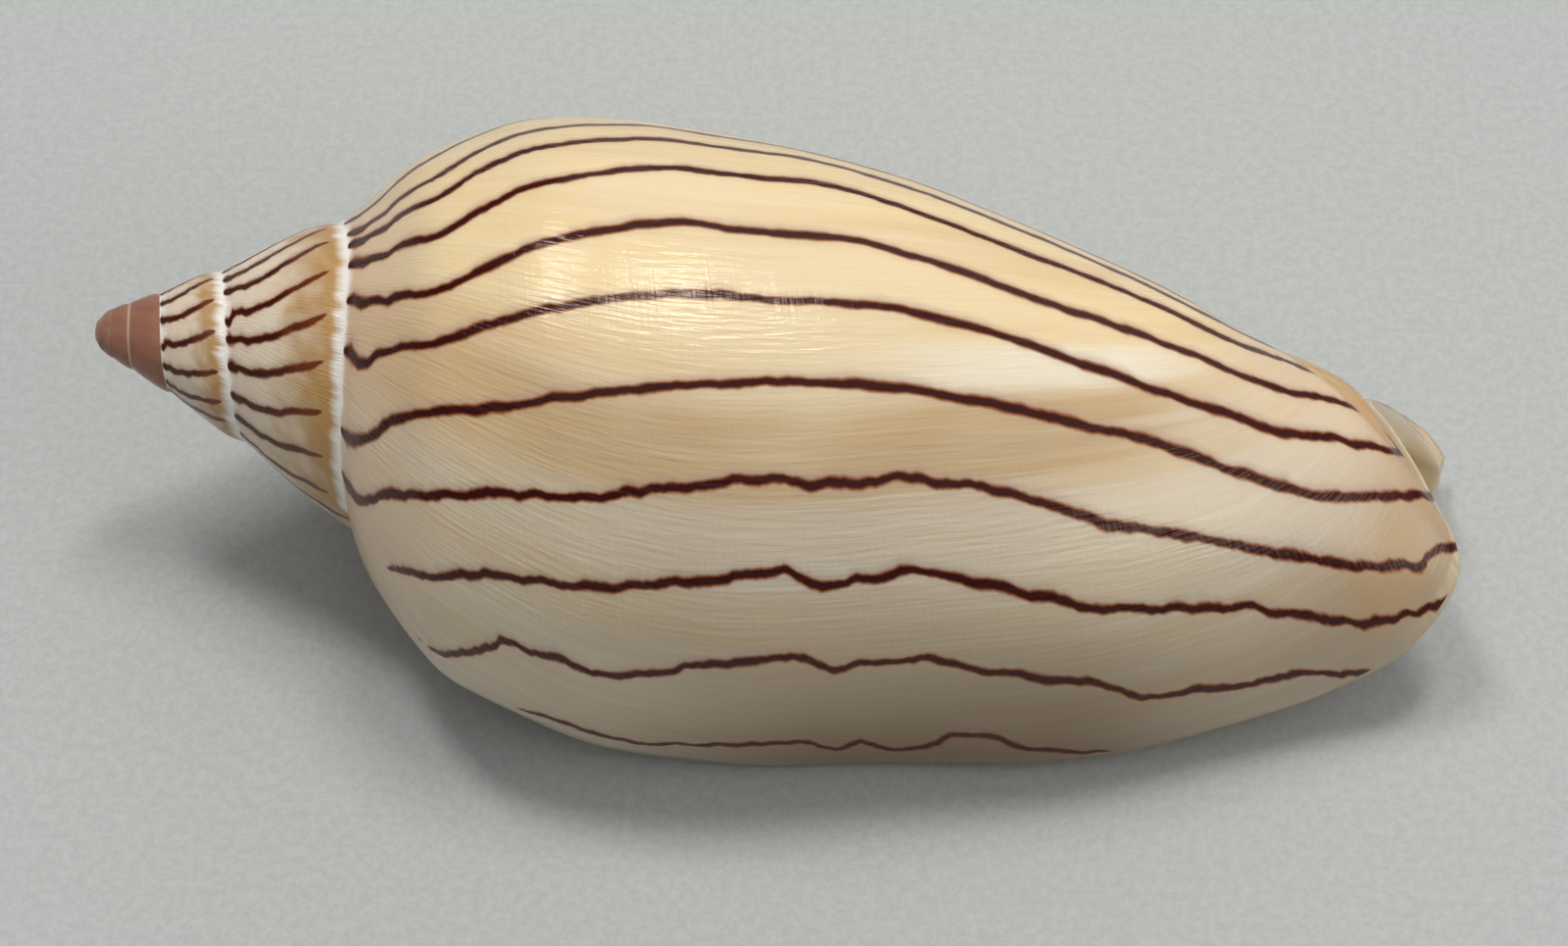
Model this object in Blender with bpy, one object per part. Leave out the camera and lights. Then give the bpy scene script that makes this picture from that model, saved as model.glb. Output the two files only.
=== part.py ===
"""A volute shell, one grown piece: a spiral of whorls on an axis, with a long open mouth.

Every surface comes from one growing edge, the lip, which turns about the axis while it grows.
Millimetres and degrees. The tip of the spire points to -X, the mouth faces down.
"""
import math

import bpy
import numpy as np

MM = 0.001                # the model is built in metres
CREAM = (0.83, 0.67, 0.42, 1.0)
GLAZE_ROUGHNESS = 0.28

# ---- driving dimensions ---------------------------------------------------------------
GROWTH = 1.965            # how many times larger the shell gets with every full turn
LIP_TURN = 191.6          # where the lip stands round the axis, from +Y over +Z
NOSE_DOWN = 8.4           # how far the axis dips towards the open end when the shell rests

# the lip as stations: distance along the axis from the tip, radius, lead round the axis
LIP = [
    (19.8, 11.9, 0.0),    # back corner, on the suture
    (24.2, 14.9, 5.0),
    (30.0, 18.5, 10.0),
    (37.0, 22.4, 14.0),   # shoulder
    (44.5, 23.9, 15.5),
    (52.3, 23.7, 14.0),   # widest part
    (60.5, 22.9, 10.5),
    (69.0, 21.3, 6.5),
    (76.5, 18.9, 2.0),
    (83.0, 16.5, -6.0),
    (87.3, 14.6, -19.0),
    (89.5, 12.1, -38.0),  # front corner of the lip
    (87.5, 8.9, -60.0),
    (85.6, 6.9, -86.0),
    (84.6, 5.5, -113.0),  # bottom of the front notch
    (84.8, 4.8, -140.0),
    (86.6, 4.4, -167.0),
    (89.5, 4.0, -196.0),
    (91.4, 4.1, -226.0),  # tip of the pillar
]
LAST = len(LIP) - 1       # the station at the tip of the pillar
CORNER = 13               # the station where the wall meets the pillar

SUTURE_LEAD = 375.0       # turn between a suture and the same point of the whorl before
SEAM_DROP = 0.10          # how much lower than an even spiral the suture runs, in stations
SUTURE_CLIMB = 0.58       # how far its end climbs the whorl before, in stations
CLIMB_TURN = 130.0        # over how much turn
SHOULDER_SWELL = 3.7      # extra radius the shoulder of the last whorl gains
SWELL_AT = 27.0
SWELL_WIDTH = 10.5
SWELL_RISE = 7.0          # how far from the suture it is full
SWELL_TURN = 380.0        # over how much turn before the lip it grows
HOLD = 2.6                # stations over which a whorl lets go of the one it grows on
BACK_FLARE = 2.4          # extra radius of the back corner of the lip
FLARE_WIDTH = 2.5
FLARE_TURN = 150.0
FRONT_TUCK = 1.6          # how much slimmer the neck at the front is behind the lip
TUCK_AT = 10.8            # its station, and how many stations it spans
TUCK_WIDTH = 1.3
TUCK_TURN = 90.0
LIP_DRAWN_IN = 0.8        # how much the middle of the lip is drawn in
DRAWN_IN_AT = 5.7         # its station, how many stations it spans, and over how much turn
DRAWN_IN_WIDTH = 1.0
DRAWN_IN_TURN = 80.0
BAND = 1.5                # height of the raised band round the front, above the notch
BAND_AT = 13.1            # its station, how many stations it spans, and where it is full
BAND_WIDTH = 1.2
BAND_TURN = 22.0
BAND_END = 250.0          # where it has run out, behind the lip
BAND_FADE = 100.0         # over how much turn it runs out
BLUNT = 1.2               # extra radius that blunts the tip of the spire
BLUNT_LENGTH = 5.4

WALL = 1.25               # wall thickness behind the lip
LIP_THICKER = 0.35        # what the lip itself adds to it
LIP_THICKER_TURN = 9.0
INNER_HOLD = 2.4          # stations over which the wall's inner surface leaves its foot
SEAM = 0.30               # width of the wall's foot on the whorl before, in stations
DEPTH = 270.0             # how far round the hollow is open behind the lip
PILLAR_SHEAR = 157.5      # turn between the two edges of the pillar's strip at the lip
PLEATS = 4                # folds on the pillar
PLEAT_STEP = 24.0
PLEAT_FIRST = 42.0
PLEAT_HEIGHT = 0.8
PLEAT_WIDTH = 0.36        # half of a fold's width, as a share of the step
PLEATS_OUT = (2.2, 1.2)   # stations past the corner where they reach out, and full height
PLEATS_STOP = (25.0, 70.0)  # turn behind the lip where they stop there, and full height
CALLUS = 1.8              # what the glaze adds where the belly runs into the pillar
CALLUS_AT = (61.0, 262.0)
CALLUS_SIZE = (8.5, 55.0)

# ---- how fine the surface is cut -----------------------------------------------------------
STEP = 7.5                # degrees from one column to the next
SPIRE_TURN = 1500.0       # how far back the spire is drawn
ROWS_SPIRE = 5            # rows from suture to suture
ROWS_BODY = 11            # rows from the suture to the corner
ROWS_FRONT = 4            # rows from the corner to the tip of the pillar
ROWS_PILLAR = 9
ROWS_RIM = 1


def smooth(x):
    x = np.clip(x, 0.0, 1.0)
    return x * x * (3.0 - 2.0 * x)


def lip_edge(t):
    """Smooth curve through the stations: distance, radius and lead at station number t."""
    t = np.asarray(t, float)
    points = np.array(LIP)
    chord = np.linalg.norm(np.diff(points * (1.0, 1.0, 0.12), axis=0), axis=1)
    slope = np.diff(points, axis=0) / chord[:, None]
    lean = np.zeros_like(points)
    total = (chord[:-1] + chord[1:])[:, None]
    lean[1:-1] = (slope[:-1] * chord[1:, None] + slope[1:] * chord[:-1, None]) / total
    lean[0] = 1.5 * slope[0] - 0.5 * lean[1]
    lean[-1] = 1.5 * slope[-1] - 0.5 * lean[-2]
    i = np.clip(t.astype(int), 0, LAST - 1)
    x = (t - i)[..., None]
    h = chord[i][..., None]
    start = (2 * x**3 - 3 * x**2 + 1) * points[i] + (x**3 - 2 * x**2 + x) * h * lean[i]
    end = (3 * x**2 - 2 * x**3) * points[i + 1] + (x**3 - x**2) * h * lean[i + 1]
    both = start + end
    return both[..., 0], both[..., 1], both[..., 2]


def size_at(u):
    return GROWTH ** (u / 360.0)


def seam_station():
    """The station on a whorl that the suture of the next whorl runs over."""
    t = np.linspace(0.0, 8.0, 801)
    along = lip_edge(t)[0]
    return float(np.interp(LIP[0][0] * GROWTH ** (SUTURE_LEAD / 360.0), along, t))


SEAM_STATION = seam_station()


def seam_at(u):
    """The same at turn u: the last suture climbs a little."""
    climb = SUTURE_CLIMB * smooth((u + SUTURE_LEAD + CLIMB_TURN) / CLIMB_TURN)
    return SEAM_STATION + SEAM_DROP - climb


def pillar_pleats(along, turn):
    """Folds that wind up the pillar with the growth of the shell."""
    stage = 360.0 * np.log(np.maximum(along, 1e-6) / LIP[LAST][0]) / math.log(GROWTH)
    phase = np.mod(turn - LIP_TURN - LIP[LAST][2] - stage, 360.0)
    height = np.zeros_like(phase)
    for k in range(PLEATS):
        away = (phase - PLEAT_FIRST - k * PLEAT_STEP) / (PLEAT_WIDTH * PLEAT_STEP)
        height = height + (1.0 - 0.12 * k) * np.exp(-away * away)
    return PLEAT_HEIGHT * height


def callus(along, turn):
    """The rounded fillet of glaze on the mouth side."""
    side = (np.mod(turn - CALLUS_AT[1] + 180.0, 360.0) - 180.0) / CALLUS_SIZE[1]
    length = (along - CALLUS_AT[0]) / CALLUS_SIZE[0]
    return CALLUS * np.exp(-side * side - length * length)


def front_band(u, t):
    """The raised band that the front notch leaves behind it as it grows."""
    height = BAND * smooth(-u / BAND_TURN) * smooth((u + BAND_END) / BAND_FADE)
    return size_at(u) * height * np.exp(-(((t - BAND_AT) / BAND_WIDTH) ** 2))


def whorl(u, t):
    """The growing edge at turn u, before it is fitted to the whorl it grows on."""
    along, out, lead = lip_edge(t)
    size = size_at(u)
    late = np.clip((u + SWELL_TURN) / SWELL_TURN, 1e-9, 1.0) ** 1.2
    bump = np.exp(-(((along - SWELL_AT) / SWELL_WIDTH) ** 2))
    out = out + SHOULDER_SWELL * late * bump * smooth((along - LIP[0][0]) / SWELL_RISE)
    behind = np.maximum(along - LIP[0][0], 0.0) / FLARE_WIDTH
    flare = behind * np.exp(1.0 - behind)
    out = out + BACK_FLARE * smooth((u + FLARE_TURN) / FLARE_TURN) * flare
    tuck = FRONT_TUCK * smooth(-u / TUCK_TURN)
    out = out - tuck * np.exp(-(((t - TUCK_AT) / TUCK_WIDTH) ** 2))
    drawn_in = LIP_DRAWN_IN * smooth(1.0 + u / DRAWN_IN_TURN)
    out = out - drawn_in * np.exp(-(((t - DRAWN_IN_AT) / DRAWN_IN_WIDTH) ** 2))
    return size * along, size * out, LIP_TURN + u + lead


def outside(u, t):
    """Outer surface at turn u and station t: distance, radius and turn round the axis."""
    u, t = np.broadcast_arrays(np.asarray(u, float), np.asarray(t, float))
    along, out, turn = whorl(u, t)
    before = u - SUTURE_LEAD
    foot = whorl(before, seam_at(before))
    own = whorl(u, np.zeros_like(t))
    hold = 1.0 - smooth(t / HOLD)
    along = along + hold * (foot[0] - own[0])
    out = out + hold * (foot[1] - own[1])
    turn = turn + hold * (foot[2] + 360.0 - own[2])
    near = np.maximum(along, 1e-6)
    out = out + BLUNT * np.exp(-near / BLUNT_LENGTH) * np.sqrt(1.0 - np.exp(-near / 0.5))
    return along, out, turn


def place(along, out, turn):
    angle = np.radians(turn)
    return np.stack([along, out * np.cos(angle), out * np.sin(angle)], axis=-1)


def outer_point(u, t):
    return place(*outside(u, t))


def outer_normal(u, t):
    """Unit vector out of the wall."""
    low = np.clip(t - 0.04, 0.0, LAST)
    high = np.clip(t + 0.04, 0.0, LAST)
    across = outer_point(u, high) - outer_point(u, low)
    ahead = outer_point(u + 0.5, t) - outer_point(u - 0.5, t)
    n = np.cross(ahead, across)
    return n / np.linalg.norm(n, axis=-1, keepdims=True)


def inner_point(u, t):
    """Inner surface: the wall's thickness in from the outer one, starting on the seam."""
    u, t = np.broadcast_arrays(np.asarray(u, float), np.asarray(t, float))

    def offset(uu, tt):
        thick = WALL * size_at(uu) ** 0.6
        thick = thick + LIP_THICKER * np.exp(np.minimum(uu, 0.0) / LIP_THICKER_TURN)
        return outer_point(uu, tt) - thick[..., None] * outer_normal(uu, tt)

    before = u - SUTURE_LEAD
    foot = outer_point(before, seam_at(before) + SEAM)
    shift = foot - offset(u, np.zeros_like(t))
    hold = 1.0 - smooth(t / INNER_HOLD)
    return offset(u, t) + hold[..., None] * shift


def rows_of_stations():
    """Row numbers of the whole edge: suture to seam, seam foot, seam to corner, corner to tip."""
    first = [("spire", j / ROWS_SPIRE) for j in range(ROWS_SPIRE + 1)]
    second = [("body", j / ROWS_BODY) for j in range(ROWS_BODY + 1)]
    third = [("front", j / ROWS_FRONT) for j in range(1, ROWS_FRONT + 1)]
    return first + second + third


def station(row, u):
    kind, part = row
    seam = seam_at(np.asarray(u, float))
    if kind == "spire":
        return seam * part
    if kind == "body":
        start = seam + SEAM
        return start + (CORNER - start) * part
    return CORNER + (LAST - CORNER) * part + 0.0 * seam


def ladder(left, right, points):
    """Triangles between two chains of points, always across the shorter diagonal."""
    faces = []
    i = 0
    j = 0
    while i < len(left) - 1 or j < len(right) - 1:
        if i == len(left) - 1:
            step_left = False
        elif j == len(right) - 1:
            step_left = True
        else:
            one = np.linalg.norm(points[left[i + 1]] - points[right[j]])
            two = np.linalg.norm(points[left[i]] - points[right[j + 1]])
            step_left = one < two
        if step_left:
            faces.append((left[i], left[i + 1], right[j]))
            i += 1
        else:
            faces.append((left[i], right[j + 1], right[j]))
            j += 1
    return faces


def between(near, far, share, points):
    """Points part of the way from one chain to the other, going round the axis."""

    def polar(chain):
        p = points[chain]
        angle = np.unwrap(np.arctan2(p[:, 2], p[:, 1]))
        return p[:, 0], np.hypot(p[:, 1], p[:, 2]), np.degrees(angle)

    near_along, near_out, near_turn = polar(near)
    far_along, far_out, far_turn = polar(far)
    rising = np.maximum.accumulate(far_along) + 1e-6 * np.arange(len(far_along))
    out = np.interp(near_along, rising, far_out)
    turn = np.interp(near_along, rising, far_turn)
    turn = turn + 360.0 * np.round((near_turn[0] - far_turn[0]) / 360.0)
    mixed_out = near_out + (out - near_out) * share
    mixed_turn = near_turn + (turn - near_turn) * share
    return place(near_along, mixed_out, mixed_turn)[1:-1]


def shell_mesh():
    """Points and triangles of the closed shell, axis along X and the tip near the origin."""
    points = []
    faces = []

    def add(block):
        block = np.asarray(block, float).reshape(-1, 3)
        first = len(points)
        points.extend(block)
        return np.arange(first, first + len(block))

    def quad(a, b, c, d):
        for tri in ((a, b, c), (a, c, d)):
            if len(set(tri)) == 3:
                faces.append(tri)

    rows = rows_of_stations()
    seam_row = ROWS_SPIRE
    foot_row = ROWS_SPIRE + 1
    corner_row = foot_row + ROWS_BODY
    last_row = len(rows) - 1
    lead = int(round(SUTURE_LEAD / STEP))
    deep = int(round(DEPTH / STEP))
    columns = int(round(SPIRE_TURN / STEP))
    body = columns - lead

    # outer surface: column by column from the tip of the spire to the lip
    outer = np.full((columns + 1, last_row + 1), -1)
    for c in range(columns + 1):
        u = (c - columns) * STEP
        for j, row in enumerate(rows):
            if c < body - deep and j > seam_row:
                continue
            if j == 0 and c >= lead:
                outer[c, 0] = outer[c - lead, seam_row]
                continue
            uu = u
            t = station(row, u)
            if c < body and j > seam_row:
                back = (body - c) / deep
                slide = (t - station(rows[foot_row], u)) / (LAST - station(rows[foot_row], u))
                uu = u + PILLAR_SHEAR * back * slide
            along, out, turn = outside(uu, t)
            if c > body and j > foot_row:
                out = out + callus(along, turn) * smooth((j - foot_row) / 4.0)
                out = out + front_band(u, t)
            if j > corner_row:
                inward = smooth((t - CORNER - PLEATS_OUT[0]) / PLEATS_OUT[1])
                inward = inward * smooth((-u - PLEATS_STOP[0]) / PLEATS_STOP[1])
                out = out + inward * size_at(uu) * pillar_pleats(along, turn)
            outer[c, j] = add(place(along, out, turn))[0]

    for c in range(columns):
        for j in range(last_row):
            if c < body and j >= seam_row and (c < body - deep or j < foot_row):
                continue
            quad(outer[c, j], outer[c, j + 1], outer[c + 1, j + 1], outer[c + 1, j])

    # inner surface of the last whorl
    inner = np.full((deep + 1, corner_row + 1), -1)
    for i in range(deep + 1):
        c = columns - deep + i
        u = (c - columns) * STEP
        inner[i, 0] = outer[c - lead, foot_row]
        for j in range(1, corner_row + 1):
            inner[i, j] = add(inner_point(u, station(rows[j], u)))[0]
    for i in range(deep):
        for j in range(corner_row):
            quad(inner[i, j], inner[i + 1, j], inner[i + 1, j + 1], inner[i, j + 1])

    # pillar: a strip that winds from the tip of one turn to the corner of the next
    strip = np.full((deep + lead + 1, ROWS_PILLAR + 1), -1)
    corner = np.array(points[inner[deep, corner_row]])
    for i in range(deep + lead + 1):
        c = body - deep + i
        strip[i, 0] = outer[c, last_row]
        u = (c - columns) * STEP
        uu = u + (PILLAR_SHEAR * (body - c) / deep if c < body else 0.0)
        start = outside(uu, float(LAST))
        if i <= deep:
            strip[i, -1] = inner[i, corner_row]
            end = np.array(points[strip[i, -1]])
            guess = LIP_TURN + (i - deep) * STEP + LIP[CORNER][2] - 360.0
        else:
            s = (i - deep) / lead
            tip = outside(0.0, float(LAST))
            front = corner[0] + (tip[0] - corner[0]) * smooth(s)
            wide = math.hypot(corner[1], corner[2])
            wide = wide + (tip[1] - wide) * smooth(1.6 * s)
            guess = math.degrees(math.atan2(corner[2], corner[1])) - 360.0
            guess = guess + (tip[2] - guess) * s
            end = place(front, wide, guess)
            if i < deep + lead:
                strip[i, -1] = add(end)[0]
        turn_end = math.degrees(math.atan2(end[2], end[1]))
        turn_end += 360.0 * round((guess - turn_end) / 360.0)
        radius_end = math.hypot(end[1], end[2])
        for w in range(1, ROWS_PILLAR):
            if i == deep + lead:
                strip[i, w] = strip[i, 0]
                continue
            x = w / ROWS_PILLAR
            along = start[0] * (end[0] / start[0]) ** x
            turn = start[2] + (turn_end - start[2]) * x
            ease = start[1] / start[0] * (1 - x) + radius_end / end[0] * x**3 + 0.055 * (x - x**3)
            radius = along * ease
            fade = smooth(6.0 * (1.0 - x)) * (1.0 - smooth((i - deep) / lead * 1.6 - 0.5))
            radius = radius + fade * along / LIP[LAST][0] * pillar_pleats(along, turn)
            strip[i, w] = add(place(along, radius, turn))[0]
        if i == deep + lead:
            strip[i, -1] = strip[i, 0]
    for i in range(deep + lead):
        for w in range(ROWS_PILLAR):
            quad(strip[i, w], strip[i, w + 1], strip[i + 1, w + 1], strip[i + 1, w])

    # rim of the lip: rounded from the outer to the inner surface
    rim = np.full((corner_row + 1, ROWS_RIM + 2), -1)
    for j in range(corner_row + 1):
        rim[j, 0] = outer[columns, j]
        rim[j, -1] = inner[deep, j]
        if j == 0:
            continue
        p = np.array(points[rim[j, 0]])
        q = np.array(points[rim[j, -1]])
        t = station(rows[j], 0.0)
        ahead = outer_point(0.5, t) - outer_point(-0.5, t)
        across = p - q
        ahead = ahead - across * (ahead @ across) / (across @ across)
        ahead = ahead / np.linalg.norm(ahead) * np.linalg.norm(across) * 0.5
        for k in range(1, ROWS_RIM + 1):
            bend = math.pi * k / (ROWS_RIM + 1)
            mid = (p + q) / 2 + across / 2 * math.cos(bend) + ahead * math.sin(bend)
            rim[j, k] = add(mid)[0]
    fan = [rim[1, k] for k in range(ROWS_RIM + 2)]
    for k in range(ROWS_RIM + 1):
        faces.append((rim[0, 0], fan[k], fan[k + 1]))
    faces.append((rim[0, 0], rim[1, -1], rim[0, -1]))
    for j in range(1, corner_row):
        for k in range(ROWS_RIM + 1):
            quad(rim[j, k], rim[j + 1, k], rim[j + 1, k + 1], rim[j, k + 1])

    # rounded end of the pillar
    loop = [outer[columns, j] for j in range(corner_row, last_row + 1)]
    loop += [strip[i, -1] for i in range(deep + lead - 1, deep - 1, -1)]
    loop += [rim[corner_row, k] for k in range(ROWS_RIM, 0, -1)]
    ring_points = np.array([points[v] for v in loop])
    centre = ring_points.mean(axis=0) * (1.0, 0.0, 0.0) + (1.2, 0.0, 0.0)
    ring = loop
    for share, lift in ((0.72, 0.55), (0.36, 0.9)):
        level = centre + (ring_points - centre) * share
        level[:, 0] = level[:, 0] + lift
        inside = list(add(level))
        for i in range(len(loop)):
            k = (i + 1) % len(loop)
            quad(ring[i], ring[k], inside[k], inside[i])
        ring = inside
    top = add(centre + (1.05, 0.0, 0.0))[0]
    for i in range(len(loop)):
        faces.append((ring[i], ring[(i + 1) % len(loop)], top))

    # blind end of the hollow: a curtain drawn round the pillar
    far = [outer[body - deep, j] for j in range(foot_row, last_row + 1)]
    far += [strip[0, w] for w in range(1, ROWS_PILLAR + 1)]
    near = [inner[0, j] for j in range(corner_row + 1)]
    chain = near
    for share in (0.33, 0.67):
        fold = [near[0]] + list(add(between(near, far, share, np.array(points)))) + [near[-1]]
        curtain = ladder(chain, fold, np.array(points))
        faces.extend(tri for tri in curtain if len(set(tri)) == 3)
        chain = fold
    faces.extend(tri for tri in ladder(chain, far, np.array(points)) if len(set(tri)) == 3)

    # tip of the spire: a small dome, and the step where the first turn begins
    turn = int(round(360.0 / STEP))
    first = [outer[c, 0] for c in range(turn, lead + 1)]
    second = [outer[0, j] for j in range(seam_row + 1)]
    faces.extend(tri for tri in ladder(first, second, np.array(points)) if len(set(tri)) == 3)
    ring = [outer[c, 0] for c in range(turn + 1)]
    edge = np.array([points[v] for v in ring])
    wide = np.hypot(edge[:, 1], edge[:, 2])
    for share in (0.66, 0.33):
        level = edge * (share * wide.min() / wide)[:, None]
        level[:, 0] = edge[:, 0].min() * (1.0 - math.sqrt(1.0 - share**2) * 0.9)
        inside = list(add(level[:-1]))
        inside.append(inside[0])
        for i in range(turn):
            quad(ring[i], ring[i + 1], inside[i + 1], inside[i])
        quad(ring[-1], ring[0], inside[0], inside[-1])
        ring = inside
    top = add((edge[:, 0].min() * 0.1, 0.0, 0.0))[0]
    for i in range(turn):
        faces.append((ring[i], ring[i + 1], top))
    return np.array(points), np.array(faces)[:, ::-1]


def at_rest(points):
    """Dips the axis, then stands the shell on the origin."""
    dip = math.radians(NOSE_DOWN)
    x = points[:, 0] * math.cos(dip) + points[:, 2] * math.sin(dip)
    z = points[:, 2] * math.cos(dip) - points[:, 0] * math.sin(dip)
    placed = np.stack([x, points[:, 1], z], axis=1)
    low = placed.min(axis=0)
    high = placed.max(axis=0)
    placed[:, 0] -= (low[0] + high[0]) / 2
    placed[:, 1] -= (low[1] + high[1]) / 2
    placed[:, 2] -= low[2]
    return placed


def glazed_cream():
    material = bpy.data.materials.new("glazed_cream")
    material.use_nodes = True
    glaze = material.node_tree.nodes["Principled BSDF"]
    glaze.inputs["Base Color"].default_value = CREAM
    glaze.inputs["Roughness"].default_value = GLAZE_ROUGHNESS
    glaze.inputs["Metallic"].default_value = 0.0
    return material


def build():
    for thing in list(bpy.data.objects):
        bpy.data.objects.remove(thing, do_unlink=True)
    points, faces = shell_mesh()
    points = at_rest(points) * MM
    mesh = bpy.data.meshes.new("shell")
    mesh.from_pydata([tuple(p) for p in points], [], [tuple(int(v) for v in f) for f in faces])
    mesh.update()
    mesh.shade_smooth()
    mesh.materials.append(glazed_cream())
    shell = bpy.data.objects.new("shell", mesh)
    bpy.context.collection.objects.link(shell)


build()
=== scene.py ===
import math

import bmesh
import bpy
import numpy as np
from mathutils import Matrix, Vector

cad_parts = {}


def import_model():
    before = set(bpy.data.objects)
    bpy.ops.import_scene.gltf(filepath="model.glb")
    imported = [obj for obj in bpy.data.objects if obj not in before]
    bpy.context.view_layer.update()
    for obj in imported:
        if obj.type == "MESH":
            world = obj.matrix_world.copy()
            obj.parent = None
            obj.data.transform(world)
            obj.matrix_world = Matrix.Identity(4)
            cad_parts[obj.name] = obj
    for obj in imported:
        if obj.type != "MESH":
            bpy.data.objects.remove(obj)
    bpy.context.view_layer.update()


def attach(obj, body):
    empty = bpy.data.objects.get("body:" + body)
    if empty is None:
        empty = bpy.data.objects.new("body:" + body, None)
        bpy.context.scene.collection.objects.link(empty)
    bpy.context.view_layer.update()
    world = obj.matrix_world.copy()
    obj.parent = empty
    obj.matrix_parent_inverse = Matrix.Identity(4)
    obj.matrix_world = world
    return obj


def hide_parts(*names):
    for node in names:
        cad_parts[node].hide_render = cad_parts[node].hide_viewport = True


# The looks of a volute shell. The surface is the CAD part's, cut finer: one growing edge, the lip,
# turns about the axis while it grows. Millimetres and degrees. "turn" is how far behind the lip
# a point grew (0 at the lip, falling towards the tip of the spire), and "station" is where it
# lies along the growing edge, from the suture (0) to the tip of the pillar (18).

MM = 0.001

# ---- form, as in the CAD part ----------------------------------------------------------
GROWTH = 1.965            # how many times larger the shell gets with every full turn
LIP_TURN = 191.6          # where the lip stands round the axis, from +Y over +Z
NOSE_DOWN = 8.4           # how far the axis dips towards the open end when the shell rests

# the lip as stations: distance along the axis from the tip, radius, lead round the axis
LIP = [
    (19.8, 11.9, 0.0),    # back corner, on the suture
    (24.2, 14.9, 5.0),
    (30.0, 18.5, 10.0),
    (37.0, 22.4, 14.0),   # shoulder
    (44.5, 23.9, 15.5),
    (52.3, 23.7, 14.0),   # widest part
    (60.5, 22.9, 10.5),
    (69.0, 21.3, 6.5),
    (76.5, 18.9, 2.0),
    (83.0, 16.5, -6.0),
    (87.3, 14.6, -19.0),
    (89.5, 12.1, -38.0),  # front corner of the lip
    (87.5, 8.9, -60.0),
    (85.6, 6.9, -86.0),
    (84.6, 5.5, -113.0),  # bottom of the front notch
    (84.8, 4.8, -140.0),
    (86.6, 4.4, -167.0),
    (89.5, 4.0, -196.0),
    (91.4, 4.1, -226.0),  # tip of the pillar
]
LAST = len(LIP) - 1       # the station at the tip of the pillar
CORNER = 13               # the station where the wall meets the pillar

SUTURE_LEAD = 375.0       # turn between a suture and the same point of the whorl before
SEAM_DROP = 0.10          # how much lower than an even spiral the suture runs, in stations
SUTURE_CLIMB = 0.58       # how far its end climbs the whorl before, in stations
CLIMB_TURN = 130.0        # over how much turn
SHOULDER_SWELL = 3.7      # extra radius the shoulder of the last whorl gains
SWELL_AT = 27.0
SWELL_WIDTH = 10.5
SWELL_RISE = 7.0          # how far from the suture it is full
SWELL_TURN = 380.0        # over how much turn before the lip it grows
HOLD = 2.6                # stations over which a whorl lets go of the one it grows on
BACK_FLARE = 2.4          # extra radius of the back corner of the lip
FLARE_WIDTH = 2.5
FLARE_TURN = 150.0
FRONT_TUCK = 1.6          # how much slimmer the neck at the front is behind the lip
TUCK_AT = 10.8            # its station, and how many stations it spans
TUCK_WIDTH = 1.3
TUCK_TURN = 90.0
LIP_DRAWN_IN = 0.8        # how much the middle of the lip is drawn in
DRAWN_IN_AT = 5.7         # its station, how many stations it spans, and over how much turn
DRAWN_IN_WIDTH = 1.0
DRAWN_IN_TURN = 80.0
BAND = 1.5                # height of the raised band round the front, above the notch
BAND_AT = 13.1            # its station, how many stations it spans, and where it is full
BAND_WIDTH = 1.2
BAND_TURN = 22.0
BAND_END = 250.0          # where it has run out, behind the lip
BAND_FADE = 100.0         # over how much turn it runs out
BLUNT = 1.2               # extra radius that blunts the tip of the spire
BLUNT_LENGTH = 5.4

WALL = 1.25               # wall thickness behind the lip
LIP_THICKER = 0.35        # what the lip itself adds to it
LIP_THICKER_TURN = 9.0
INNER_HOLD = 2.4          # stations over which the wall's inner surface leaves its foot
SEAM = 0.30               # width of the wall's foot on the whorl before, in stations
DEPTH = 270.0             # how far round the hollow is open behind the lip
PILLAR_SHEAR = 157.5      # turn between the two edges of the pillar's strip at the lip
PLEATS = 4                # folds on the pillar
PLEAT_STEP = 24.0
PLEAT_FIRST = 42.0
PLEAT_HEIGHT = 0.8
PLEAT_WIDTH = 0.36        # half of a fold's width, as a share of the step
PLEATS_OUT = (2.2, 1.2)   # stations past the corner where they reach out, and full height
PLEATS_STOP = (25.0, 70.0)  # turn behind the lip where they stop there, and full height
CALLUS = 1.8              # what the glaze adds where the belly runs into the pillar
CALLUS_AT = (61.0, 262.0)
CALLUS_SIZE = (8.5, 55.0)
CALLUS_RISE = 2.75        # full after one part in so many of the way to the corner
END_BULGE = 1.05          # length of the pillar's rounded end
END_FORWARD = 1.2         # how far its middle stands in front of its edge

# ---- how fine the surface is cut -----------------------------------------------------------
STEP = 2.5                # degrees from one column to the next
SPIRE_TURN = 2250.0       # how far back the spire is drawn
ROWS_SPIRE = 20           # rows from suture to suture
ROWS_BODY = 96            # rows from the suture to the corner
ROWS_FRONT = 24           # rows from the corner to the tip of the pillar
ROWS_PILLAR = 32
ROWS_RIM = 5
ROWS_END = 9              # rings on the rounded end of the pillar
END_SMOOTHING = 8         # how often each of them is evened out

SEAM_ROW = ROWS_SPIRE     # the row on the suture of the next whorl
FOOT_ROW = SEAM_ROW + 1   # the row on the inner foot of the next whorl's wall
CORNER_ROW = FOOT_ROW + ROWS_BODY
LAST_ROW = CORNER_ROW + ROWS_FRONT
COLUMNS = round(SPIRE_TURN / STEP)
LEAD = round(SUTURE_LEAD / STEP)
DEEP = round(DEPTH / STEP)
BODY = COLUMNS - LEAD     # the column where the outside of the last whorl begins

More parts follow.
